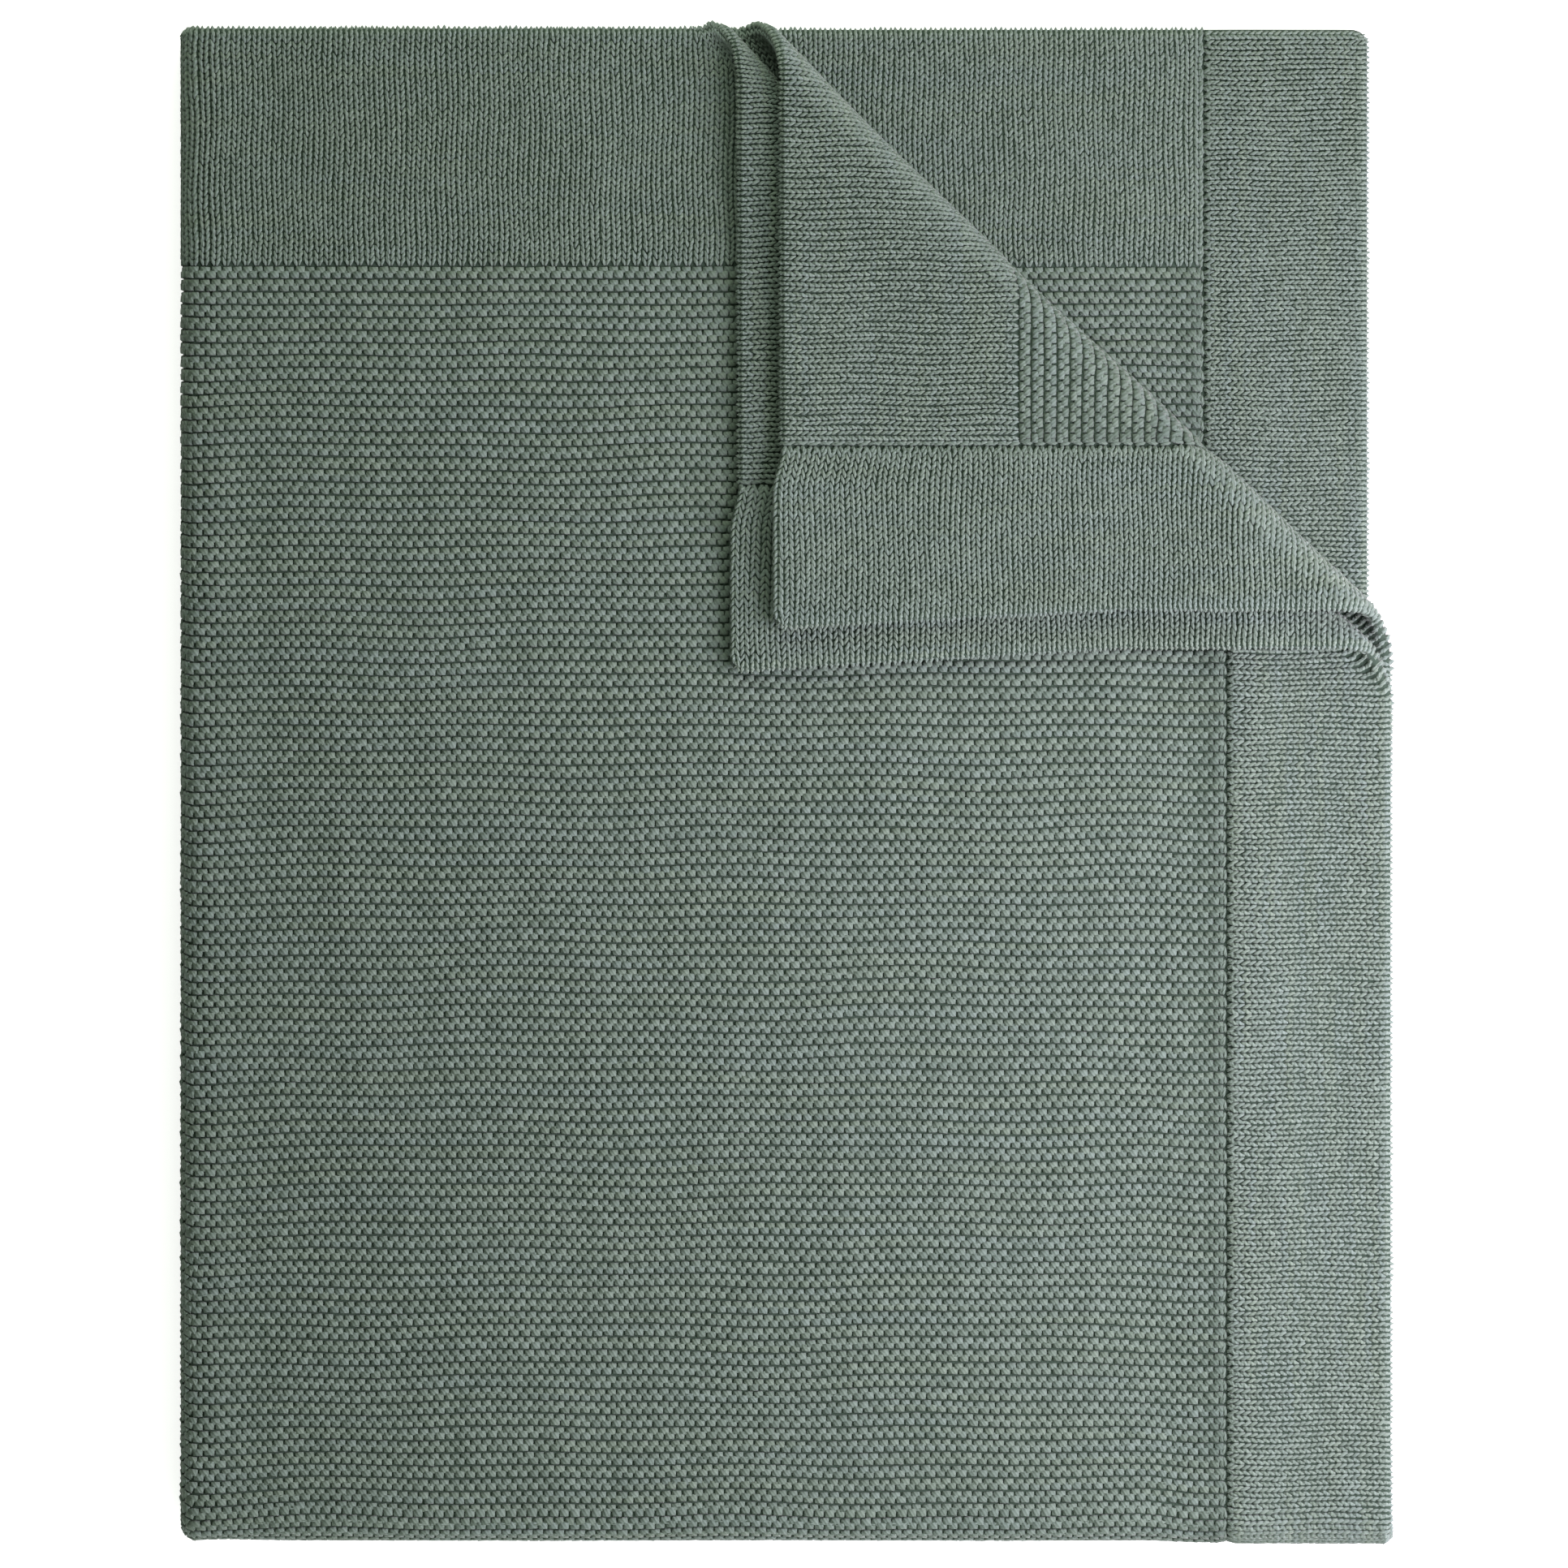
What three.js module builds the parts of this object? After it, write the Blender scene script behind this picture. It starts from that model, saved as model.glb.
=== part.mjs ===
import * as THREE from 'three';

// A knitted cradle blanket, folded in four, with the corner of its two upper layers turned back.
// Millimetres. It lies on z = 0 with its middle over the origin and its folds at -x and -y.
// The two folds make four layers, numbered from the top.

// The cloth, laid out flat: t runs across it and s along it
const clothWidth = 800;
const clothLength = 1000;
const sideBand = 54;
const endBorder = 78.4;
const garterThickness = 4.2;
const bandThickness = 4.5;
const layerGap = 0.4;
const pieceGap = 0.3;
const cornerRound = 5;
const edgeRound = 2.25;
const thinnestEdge = 0.35;
const borderGroove = { depth: 0.18, width: 3 };

// The folded blanket's outline
const leftEdge = -200;
const rightEdge = 200;
const topEdge = 250.5;
const bottomEdge = -249.7;
const bandStandsOut = 0.8;
const lowerLayersShort = 7.5;
const lowerShift = { from: 500, to: 700 };
const hiddenLayersShort = 1;
const toMiddle = { x: -0.37, y: -0.24 };

// How much cloth each fold takes to go round, and how far it puffs up
const leftFold = { cloth: 9, puff: 1.6, reach: 18 };
const bottomFold = { cloth: 16, puff: 1.4, reach: 18 };
const bandRise = 20;
const foldCornerPull = 2.4;

// Soft lumps in the layers, as a share of their spacing
const lumps = { share: 0.07, across: 150, along: 210, sway: 0.9, lag: 0.6 };

// The turned corner: where a layer's end edge and side seam come to lie, how much wider its side
// band gets towards the loose corner, how far the band stands past the border's end, and how far
// from the roll the flap has settled
const turned = {
  1: { edgeX: -15.5, seamY: 99.8, flare: 0.13, flareReach: 190, bandProud: 3, settles: 35 },
  2: { edgeX: -1.5, seamY: 112.4, flare: 0.1, flareReach: 125, bandProud: 2.6, settles: 50 },
};
const flapSpacing = 5.1;
const cornerReach = 250;

// The roll that each turned layer goes over, a row for each place along the diagonal: how far out
// the roll reaches, its half width, and how much higher than the flap it stands
const rolls = {
  1: [
    { along: -188, reach: 162.0, half: 7.0, bulge: 4.6 },
    { along: -140, reach: 160.5, half: 6.2, bulge: 3.4 },
    { along: -50, reach: 162.0, half: 5.0, bulge: 2.2 },
    { along: 20, reach: 164.5, half: 5.0, bulge: 2.2 },
    { along: 70, reach: 167.3, half: 6.8, bulge: 3.4 },
    { along: 108, reach: 170.4, half: 9.0, bulge: 5.0 },
  ],
  2: [
    { along: -178, reach: 172.4, half: 7.5, bulge: 5.0 },
    { along: -130, reach: 171.6, half: 7.0, bulge: 3.8 },
    { along: -60, reach: 172.6, half: 6.5, bulge: 2.6 },
    { along: 16, reach: 175.3, half: 7.0, bulge: 2.6 },
    { along: 60, reach: 177.2, half: 8.5, bulge: 3.8 },
    { along: 96, reach: 179.3, half: 10.0, bulge: 5.6 },
  ],
};

// How finely the solids are stepped
const rollSteps = 6;
const foldSteps = 6;
const flapLines = 5;
const bodyLines = [88, 116, 145, 175, 207, 240, 273, 306, 336, 361, 379, 389];
const edgeLines = [0, 0.7, 2.2];
const cornerRows = { from: 126, to: 176, step: 5 };
const bandRows = { from: 176, to: 236, step: 6 };
const upperRows = [26, 52, 98, 114, 190, 206, 224, 244, 274, 306, 338, 370, 400, 430, 455, 474, 486];
const lowerRows = [514, 526, 545, 570, 600, 634, 670, 706, 742, 778, 814, 850, 886, 948, 974];
const leastStep = 0.3;

const halfWidth = clothWidth / 2;
const halfLength = clothLength / 2;
const leftFlat = halfWidth - leftFold.cloth / 2;
const bottomFlat = halfLength - bottomFold.cloth / 2;
const seamX = rightEdge - sideBand;
const lowestSeamX = seamX - lowerLayersShort;
const borderY = topEdge - endBorder;

const { lerp, smoothstep, clamp } = THREE.MathUtils;

// A column of a table at a place along the diagonal, eased from row to row
const fromRows = (rows, along, column) => {
  const next = rows.findIndex((row) => row.along > along);
  if (next === 0) return rows[0][column];
  if (next < 0) return rows[rows.length - 1][column];
  const before = rows[next - 1];
  return lerp(before[column], rows[next][column], smoothstep(along, before.along, rows[next].along));
};

// Bands are thicker than garter stitch, so the layers rise a little beside them: 1 in a band's reach
const inBand = (x, y) => {
  const aside = smoothstep(x, lowestSeamX - bandRise, lowestSeamX - 1);
  const above = smoothstep(y, borderY - bandRise, borderY - 1);
  return 1 - (1 - aside) * (1 - above);
};

// Half the distance between two layers of a pair, half the distance between the pairs, and the
// height between them
const levelsAt = (x, y) => {
  const thickness = lerp(garterThickness, bandThickness, inBand(x, y));
  const waveY = (2 * Math.PI * y) / lumps.along;
  const waveX = (2 * Math.PI * x) / lumps.across + lumps.sway * Math.sin(waveY);
  const lump = (1 + Math.sin(waveX) * Math.sin(waveY + lumps.lag)) / 2;
  const spacing = (thickness + layerGap) * (1 + lumps.share * lump);
  const puffLeft = leftFold.puff * Math.exp(-(((x - leftEdge) / leftFold.reach) ** 2));
  const puffBottom = bottomFold.puff * Math.exp(-(((y - bottomEdge) / bottomFold.reach) ** 2));
  const halfPair = (spacing + puffLeft) / 2;
  const turn = spacing + (puffLeft + puffBottom) / 2;
  return { thickness, halfPair, turn, middle: thickness / 2 + turn + halfPair };
};

// A run of cloth from an edge to a fold: the band keeps its width, and the rest takes what is left
const run = (distance, start, fold, band, flat) => {
  if (distance < band) return start - distance;
  return lerp(start - band, fold, Math.min(1, (distance - band) / (flat - band)));
};

// Where a layer's roll starts, and how much cloth goes round it
const rollAt = (layer, along) => {
  const { edgeX, seamY } = turned[layer];
  const half = fromRows(rolls[layer], along, 'half');
  const start = fromRows(rolls[layer], along, 'reach') - half;
  const mirror = (topEdge + edgeX + seamX + seamY) / 2 / Math.SQRT2;
  const slide = (seamX + seamY - topEdge - edgeX) / Math.SQRT2;
  return { half, start, slide, taken: 2 * (mirror - start) };
};

// Takes a point of layer 1 or 2 over its roll, if it lies beyond the roll's start
const turnCorner = (layer, x, y) => {
  const along = (x - y) / Math.SQRT2;
  const { half, start, slide, taken } = rollAt(layer, along);
  const beyond = (x + y) / Math.SQRT2 - start;
  const angle = clamp((Math.PI * beyond) / taken, 0, Math.PI);
  const onFlap = Math.max(0, beyond - taken);
  const newAcross = start + Math.min(beyond, 0) + half * Math.sin(angle) - onFlap;
  const newAlong = along - (slide * angle) / Math.PI;
  const newX = (newAcross + newAlong) / Math.SQRT2;
  const newY = (newAcross - newAlong) / Math.SQRT2;
  const level = levelsAt(newX, newY);
  const topLayer = level.middle + level.turn + level.halfPair;
  const low = layer === 1 ? topLayer : topLayer - 2 * level.halfPair;
  const settled = Math.exp(-((onFlap / turned[layer].settles) ** 2));
  const bulge = fromRows(rolls[layer], along, 'bulge') * settled;
  const high = topLayer + layer * flapSpacing + bulge;
  return new THREE.Vector3(newX, newY, lerp(low, high, (1 - Math.cos(angle)) / 2));
};

// Pulls the cloth's corners in to a rounded shape
const roundCorner = (aside, lengthwise) => {
  const a = 1 - aside / cornerRound;
  const b = 1 - lengthwise / cornerRound;
  if (a <= 0 || b <= 0) return [aside, lengthwise];
  const pull = Math.max(a, b) / Math.hypot(a, b);
  return [cornerRound * (1 - a * pull), cornerRound * (1 - b * pull)];
};

// The middle of the cloth's thickness at (t, s), in the folded blanket
const place = (t, s) => {
  const outer = t < halfWidth;
  const upper = s < halfLength;
  const nearSide = outer ? t : clothWidth - t;
  const nearEnd = upper ? s : clothLength - s;
  const [aside, lengthwise] = roundCorner(nearSide, nearEnd);
  const leftAngle = (Math.PI * clamp(t - leftFlat, 0, leftFold.cloth)) / leftFold.cloth;
  const bottomAngle = (Math.PI * clamp(s - bottomFlat, 0, bottomFold.cloth)) / bottomFold.cloth;

  const hidden = outer === upper ? 0 : hiddenLayersShort;
  const right = rightEdge - lowerLayersShort * smoothstep(s, lowerShift.from, lowerShift.to);
  const nearX = run(aside, right, leftEdge, sideBand, leftFlat);
  const nearY = run(lengthwise, topEdge, bottomEdge, endBorder, bottomFlat);
  const atLeft = levelsAt(leftEdge, nearY);
  const atBottom = levelsAt(nearX, bottomEdge);
  const proud = bandStandsOut * inBand(nearX, bottomEdge);
  const foldX = leftEdge + atLeft.thickness / 2 + atLeft.halfPair;
  const foldY = bottomEdge - proud + atBottom.thickness / 2 + atBottom.turn + atBottom.halfPair;
  const x = run(aside, right, foldX, sideBand, leftFlat);
  const y = run(lengthwise, topEdge, foldY, endBorder, bottomFlat);

  if (upper && aside < cornerReach && lengthwise < cornerReach) {
    const layer = outer ? 1 : 2;
    const { flare, flareReach, bandProud } = turned[layer];
    const wider = Math.max(0, sideBand - aside) * flare * Math.max(0, 1 - lengthwise / flareReach);
    const onBand = 1 - smoothstep(aside, 0.75 * sideBand, sideBand);
    const longer = bandProud * onBand * (1 - smoothstep(lengthwise, 0, endBorder));
    return turnCorner(layer, x + wider, y + longer);
  }

  const level = levelsAt(x, y);
  const radius = level.turn + Math.cos(leftAngle) * level.halfPair;
  const endPull = foldCornerPull * Math.sin(leftAngle) * Math.exp(-lengthwise / cornerRound);
  const short = hidden * Math.exp(-Math.min(aside, lengthwise) / cornerRound);
  const shortX = (short * lengthwise) / (aside + lengthwise);
  const shortY = (short * aside) / (aside + lengthwise);
  return new THREE.Vector3(
    x - shortX - level.halfPair * Math.sin(leftAngle),
    y - shortY - endPull - radius * Math.sin(bottomAngle),
    level.middle + radius * Math.cos(bottomAngle),
  );
};

// The cloth's outward direction at (t, s)
const facing = (t, s) => {
  const nudge = 0.4;
  const across = place(t + nudge, s).sub(place(t - nudge, s));
  const along = place(t, s + nudge).sub(place(t, s - nudge));
  return across.cross(along).normalize();
};

// How far the roll's angle has come at a row s, as the distance from the side edge
const rollLine = (layer, angle) => (s) => {
  let aside = rightEdge + topEdge - s;
  for (let i = 0; i < 6; i += 1) {
    const along = (rightEdge - aside - topEdge + s) / Math.SQRT2;
    const { start, taken } = rollAt(layer, along);
    aside = rightEdge + topEdge - s - Math.SQRT2 * (start + (taken * angle) / Math.PI);
  }
  return aside;
};

// The lines of one half of the cloth, from its side edge to the fold, that fall between two
// distances from that edge. They follow the roll, and close up where they leave the cloth
const linesBetween = (layer, from, to, fixedLines) => {
  const inFrom = from + edgeLines[2];
  const limit = (line) => (s) => clamp(line(s), inFrom, to);
  const rollEnd = rollLine(layer, Math.PI);
  const rollStart = rollLine(layer, 0);
  const lines = edgeLines.map((inset) => () => from + inset);
  for (let i = 1; i <= flapLines; i += 1) {
    const share = i / (flapLines + 1);
    lines.push((s) => lerp(inFrom, clamp(rollEnd(s), inFrom, to), share));
  }
  for (let i = 0; i <= rollSteps; i += 1) {
    lines.push(limit(rollLine(layer, Math.PI * (1 - i / rollSteps))));
  }
  fixedLines.forEach((fixed) => lines.push(limit((s) => Math.max(fixed, rollStart(s)))));
  return lines;
};

const rowsFrom = ({ from, to, step }) => {
  const rows = [];
  for (let s = from; s <= to; s += step) rows.push(s);
  return rows;
};

const foldRows = () => {
  const rows = [];
  for (let i = 0; i <= foldSteps; i += 1) rows.push(bottomFlat + (bottomFold.cloth * i) / foldSteps);
  return rows;
};

// The rows of a piece, from one end of the cloth to the other
const rowsOf = (extra) => {
  const ends = [...edgeLines, ...[-1, 0, 1].map((side) => endBorder + side * borderGroove.width)];
  const rows = [
    ...ends, ...ends.map((s) => clothLength - s),
    ...upperRows, ...rowsFrom(cornerRows), ...extra, ...foldRows(), ...lowerRows,
  ];
  return rows.sort((a, b) => a - b).filter((s, i, all) => i === 0 || s - all[i - 1] > leastStep);
};

// Half the cloth's thickness: rounded at a piece's own edges, with a groove at the end borders
const halfThickness = (t, s, from, to) => {
  const fromEnd = Math.min(s, clothLength - s);
  const border = fromEnd < endBorder || from < sideBand || to > clothWidth - sideBand;
  const groove = from < sideBand || to > clothWidth - sideBand
    ? 0
    : borderGroove.depth * Math.max(0, 1 - Math.abs(fromEnd - endBorder) / borderGroove.width);
  const inset = Math.min(1, Math.min(t - from, to - t, fromEnd) / edgeRound);
  const rounded = Math.max(thinnestEdge, Math.sqrt(1 - (1 - inset) ** 2));
  return ((border ? bandThickness : garterThickness) / 2) * rounded * (1 - groove);
};

// A closed solid of the cloth between two lines: its outer side, its inner side, and its edges
const clothSolid = (lines, rows, from, to) => {
  const positions = [];
  const grid = rows.map((s) => {
    let last = null;
    return lines.map((line) => {
      const t = line(s);
      if (last && t - last.t < leastStep) return last;
      const middle = place(t, s);
      const out = facing(t, s).multiplyScalar(halfThickness(t, s, from, to));
      const index = positions.length / 3;
      positions.push(...middle.clone().add(out).toArray(), ...middle.clone().sub(out).toArray());
      last = { t, outer: index, inner: index + 1 };
      return last;
    });
  });

  const indices = [];
  const triangle = (a, b, c) => {
    if (a !== b && b !== c && c !== a) indices.push(a, b, c);
  };
  const wall = (a, b) => {
    triangle(b.outer, a.outer, a.inner);
    if (a !== b) triangle(b.outer, a.inner, b.inner);
  };
  for (let row = 0; row < rows.length - 1; row += 1) {
    for (let line = 0; line < lines.length - 1; line += 1) {
      const [a, b] = [grid[row][line], grid[row][line + 1]];
      const [d, c] = [grid[row + 1][line], grid[row + 1][line + 1]];
      triangle(a.outer, b.outer, c.outer);
      triangle(a.outer, c.outer, d.outer);
      triangle(a.inner, c.inner, b.inner);
      triangle(a.inner, d.inner, c.inner);
    }
    wall(grid[row + 1][0], grid[row][0]);
    wall(grid[row][lines.length - 1], grid[row + 1][lines.length - 1]);
  }
  for (let line = 0; line < lines.length - 1; line += 1) {
    wall(grid[0][line], grid[0][line + 1]);
    wall(grid[rows.length - 1][line + 1], grid[rows.length - 1][line]);
  }

  const geometry = new THREE.BufferGeometry();
  geometry.setAttribute('position', new THREE.Float32BufferAttribute(positions, 3));
  geometry.setIndex(indices);
  geometry.translate(toMiddle.x, toMiddle.y, 0);
  geometry.computeVertexNormals();
  return geometry;
};

// Lines given by their distance from the far side edge
const mirrored = (lines) => lines.map((line) => (s) => clothWidth - line(s)).reverse();

const yarn = (color) => new THREE.MeshStandardMaterial({ color, roughness: 0.95, metalness: 0 });

const mainPanel = () => {
  const from = sideBand + pieceGap / 2;
  const fold = [];
  for (let i = 1; i < foldSteps; i += 1) {
    const t = leftFlat + (leftFold.cloth * i) / foldSteps;
    fold.push(() => t);
  }
  const fixedLines = [...bodyLines, leftFlat];
  const lines = [
    ...linesBetween(1, from, leftFlat, fixedLines),
    ...fold,
    ...mirrored(linesBetween(2, from, leftFlat, fixedLines)),
  ];
  const geometry = clothSolid(lines, rowsOf([]), from, clothWidth - from);
  const mesh = new THREE.Mesh(geometry, yarn(0x65766b));
  mesh.name = 'main_panel';
  return mesh;
};

const bandLines = (layer) => {
  const to = sideBand - pieceGap / 2;
  const inTo = to - edgeLines[2];
  const lines = linesBetween(layer, 0, inTo, [sideBand / 2, inTo]);
  return [...lines, ...edgeLines.slice(0, 2).reverse().map((inset) => () => to - inset)];
};

const sideBandA = () => {
  const to = sideBand - pieceGap / 2;
  const geometry = clothSolid(bandLines(1), rowsOf(rowsFrom(bandRows)), 0, to);
  const mesh = new THREE.Mesh(geometry, yarn(0x728279));
  mesh.name = 'side_band_a';
  return mesh;
};

const sideBandB = () => {
  const from = clothWidth - sideBand + pieceGap / 2;
  const geometry = clothSolid(mirrored(bandLines(2)), rowsOf(rowsFrom(bandRows)), from, clothWidth);
  const mesh = new THREE.Mesh(geometry, yarn(0x728279));
  mesh.name = 'side_band_b';
  return mesh;
};

const blanket = new THREE.Group();
blanket.add(mainPanel(), sideBandA(), sideBandB());

export default blanket;
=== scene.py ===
import math
import bmesh
import bpy
import numpy as np
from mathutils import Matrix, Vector
from mathutils.bvhtree import BVHTree


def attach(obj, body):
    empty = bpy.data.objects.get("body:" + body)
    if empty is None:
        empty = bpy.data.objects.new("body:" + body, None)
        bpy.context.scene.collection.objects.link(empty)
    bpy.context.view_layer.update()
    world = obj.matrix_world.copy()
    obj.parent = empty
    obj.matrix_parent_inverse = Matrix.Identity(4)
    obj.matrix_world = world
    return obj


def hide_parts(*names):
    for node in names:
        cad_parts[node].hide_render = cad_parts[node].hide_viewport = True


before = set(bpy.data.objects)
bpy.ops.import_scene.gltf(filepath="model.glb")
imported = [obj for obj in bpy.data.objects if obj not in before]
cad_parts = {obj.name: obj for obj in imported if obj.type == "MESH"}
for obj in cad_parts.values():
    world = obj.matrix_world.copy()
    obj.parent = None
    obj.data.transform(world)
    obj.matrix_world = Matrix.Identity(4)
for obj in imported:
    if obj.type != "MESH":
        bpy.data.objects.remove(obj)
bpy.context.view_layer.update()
mm = 0.001
fullTurn = 2 * math.pi
random = np.random.default_rng(27)

# the cloth laid out flat, in mm: t runs across it and s along it
cloth = {
    "width": 800, "length": 1000, "sideBand": 54, "endBorder": 78.4,
    "garterThickness": 4.2, "bandThickness": 4.5, "layerGap": 0.4, "seamGap": 0.06,
    "cornerRound": 5, "edgeRound": 2.25, "thinnestEdge": 0.35,
    "panelSeamRound": 3.2, "bandSeamRound": 3.4, "seamThinnest": 0.68, "grooveDepth": 0.1, "grooveWidth": 3,
}

# how it lies: folded at -x and at -y, so the layers are numbered 1 to 4 from the top
folded = {
    "left": -200, "right": 200, "top": 250.5, "bottom": -249.7,
    "bandStandsOut": 0.8, "lowerLayersShort": 7.5, "shiftFrom": 500, "shiftTo": 700,
    "hiddenLayersShort": 1, "toMiddleX": -0.37, "toMiddleY": -0.24,
    "leftCloth": 15, "leftPuff": 1.6, "leftReach": 18,
    "bottomPuff": 1.4, "bottomReach": 18, "bottomSlack": 1,
    "bandRise": 20, "cornerPull": 0.35,
    "lumpShare": 0.07, "lumpAcross": 150, "lumpAlong": 210, "lumpSway": 0.9, "lumpLag": 0.6,
    "flapSpacing": 5.1, "cornerReach": 250,
}

# the corner of the two upper layers is turned back; each row of a roll's table is a place along
# the diagonal, how far out the roll reaches there, its half width and how high it stands
turned = {
    1: {"edgeX": -15.5, "seamY": 99.8, "flare": 0.145, "flareReach": 125, "proud": 3, "settles": 35,
        "roll": [(-188, 162.0, 7.0, 4.6), (-140, 160.5, 6.2, 3.4), (-50, 162.0, 5.0, 2.2),
                 (20, 164.5, 5.0, 2.2), (70, 166.3, 6.4, 3.4), (108, 168.0, 7.6, 5.0)]},
    2: {"edgeX": -1.5, "seamY": 112.4, "flare": 0.115, "flareReach": 110, "proud": 2.6, "settles": 50,
        "roll": [(-178, 172.4, 7.5, 5.0), (-130, 171.6, 7.0, 3.8), (-60, 172.6, 6.5, 2.6),
                 (16, 175.3, 6.6, 2.6), (60, 176.4, 7.6, 3.8), (96, 177.2, 8.6, 5.6)]},
}

# soft ridges and troughs of the cloth as it lies: where the crest is, the way it runs in degrees, how
# far it reaches along, to its left and to its right, its rise, and the heights it grows between
creases = [
    (152, 0, 90, 900, 10, 15, 2.3, 0, 15), (-200, 0, 90, 900, 6.5, 7.5, -2.4, 0, 15),
    (0, -243, 0, 900, 11, 6, 0.9, 0, 15),
    (-154, -236, 88, 20, 4, 5, -0.45, 4, 15), (-59, -237, 84, 24, 5, 4, -0.5, 4, 15),
    (42, -236, 95, 19, 4, 4, -0.45, 4, 15), (-104, -180, 97, 46, 9, 8, 0.35, 4, 15),
    (12, -120, 83, 60, 10, 12, 0.3, 4, 15), (84, -60, 94, 52, 9, 9, -0.3, 4, 15),
    (-88, 96, 86, 70, 10, 9, -0.3, 4, 15), (-140, -40, 92, 80, 12, 8, 0.3, 4, 15),
    (-2, 100, 90, 95, 4, 16, 2.3, 22, 25), (60, 84, 12, 34, 7, 9, 0.5, 22, 25),
    (118, 92, -16, 30, 7, 8, -0.5, 22, 25), (196, 64, -30, 18, 12, 12, 2.2, 22, 25),
]
ripples = [(37, 0.12, 8, 1.7), (23, 0.07, -14, 0.4), (16, 0.045, 3, 2.9)]  # length, rise, lean, start
rippleLevels = (2, 15)

halfWidth = cloth["width"] / 2
halfLength = cloth["length"] / 2
leftFlat = halfWidth - folded["leftCloth"] / 2
seamX = folded["right"] - cloth["sideBand"]
lowestSeamX = seamX - folded["lowerLayersShort"]
borderY = folded["top"] - cloth["endBorder"]
root2 = math.sqrt(2)


def blend(a, b, share):
    return a + (b - a) * share


def ease(x, start, end):
    share = np.clip((x - start) / (end - start), 0, 1)
    return share * share * (3 - 2 * share)


def wave(distance, length, start=0, sway=0):
    return np.sin(fullTurn * distance / length + start + sway)


def rollTable(rows, along, column):  # one column of a roll's table, eased between its rows
    stops = np.array([row[0] for row in rows])
    values = np.array([row[column] for row in rows])
    upper = np.clip(np.searchsorted(stops, along, side="right"), 1, len(stops) - 1)
    share = ease(along, stops[upper - 1], stops[upper])
    return blend(values[upper - 1], values[upper], share)


def levelsAt(x, y):  # cloth thickness and how far apart the layers lie at a place, in mm
    aside = ease(x, lowestSeamX - folded["bandRise"], lowestSeamX - 1)
    above = ease(y, borderY - folded["bandRise"], borderY - 1)
    inBand = 1 - (1 - aside) * (1 - above)
    thickness = blend(cloth["garterThickness"], cloth["bandThickness"], inBand)
    sway = folded["lumpSway"] * wave(y, folded["lumpAlong"])
    lump = wave(x, folded["lumpAcross"], 0, sway) * wave(y, folded["lumpAlong"], folded["lumpLag"])
    lump = (1 + lump) / 2
    spacing = (thickness + cloth["layerGap"]) * (1 + folded["lumpShare"] * lump)
    puffLeft = folded["leftPuff"] * np.exp(-((x - folded["left"]) / folded["leftReach"]) ** 2)
    puffBottom = folded["bottomPuff"] * np.exp(-((y - folded["bottom"]) / folded["bottomReach"]) ** 2)
    halfPair = (spacing + puffLeft) / 2
    turn = spacing + (puffLeft + puffBottom) / 2
    return thickness, halfPair, turn, thickness / 2 + turn + halfPair, inBand


def runOf(distance, start, fold, band, flat):  # from an edge to a fold; a band keeps its width
    share = np.minimum(1, (distance - band) / (flat - band))
    return np.where(distance < band, start - distance, blend(start - band, fold, share))


def rollAt(layer, along):
    spec = turned[layer]
    half = rollTable(spec["roll"], along, 2)
    start = rollTable(spec["roll"], along, 1) - half
    mirror = (folded["top"] + spec["edgeX"] + seamX + spec["seamY"]) / 2 / root2
    slide = (seamX + spec["seamY"] - folded["top"] - spec["edgeX"]) / root2
    return half, start, slide, 2 * (mirror - start)


def turnCorner(layer, x, y):  # takes a point of layer 1 or 2 over its roll, if it lies that far out
    along = (x - y) / root2
    half, start, slide, taken = rollAt(layer, along)
    beyond = (x + y) / root2 - start
    share = np.clip(beyond / taken, 0, 1)
    slack = np.minimum(0, taken / (math.pi * half) - 1)  # what is missing is stretched out of sight, below
    angle = math.pi * (share - slack * share * (1 - share))
    onFlap = np.maximum(0, beyond - taken)
    newAcross = start + np.minimum(beyond, 0) + half * np.sin(angle) - onFlap
    newAlong = along - slide * ease(share, 0, 0.5)
    newX, newY = (newAcross + newAlong) / root2, (newAcross - newAlong) / root2
    _, halfPair, turn, middle, _ = levelsAt(newX, newY)
    topLayer = middle + turn + halfPair
    low = topLayer if layer == 1 else topLayer - 2 * halfPair
    settled = np.exp(-(onFlap / turned[layer]["settles"]) ** 2)
    bulge = rollTable(turned[layer]["roll"], along, 3) * settled
    high = topLayer + layer * folded["flapSpacing"] + bulge
    return np.stack([newX, newY, blend(low, high, (1 - np.cos(angle)) / 2)], -1)


def liftAt(x, y, z):  # how far the creases and ripples lift a place
    lift = np.zeros_like(z)
    for crestX, crestY, way, reach, left, right, rise, low, high in creases:
        ax, ay = math.cos(math.radians(way)), math.sin(math.radians(way))
        along = (x - crestX) * ax + (y - crestY) * ay
        aside = (x - crestX) * ay - (y - crestY) * ax
        fade = np.exp(-(along / reach) ** 2 - (aside / np.where(aside < 0, left, right)) ** 2)
        lift += rise * fade * ease(z, low, high)
    for length, rise, lean, start in ripples:
        way = math.radians(lean)
        lift += rise * wave(x * math.cos(way) + y * math.sin(way), length, start) * ease(z, *rippleLevels)
    return lift


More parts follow.
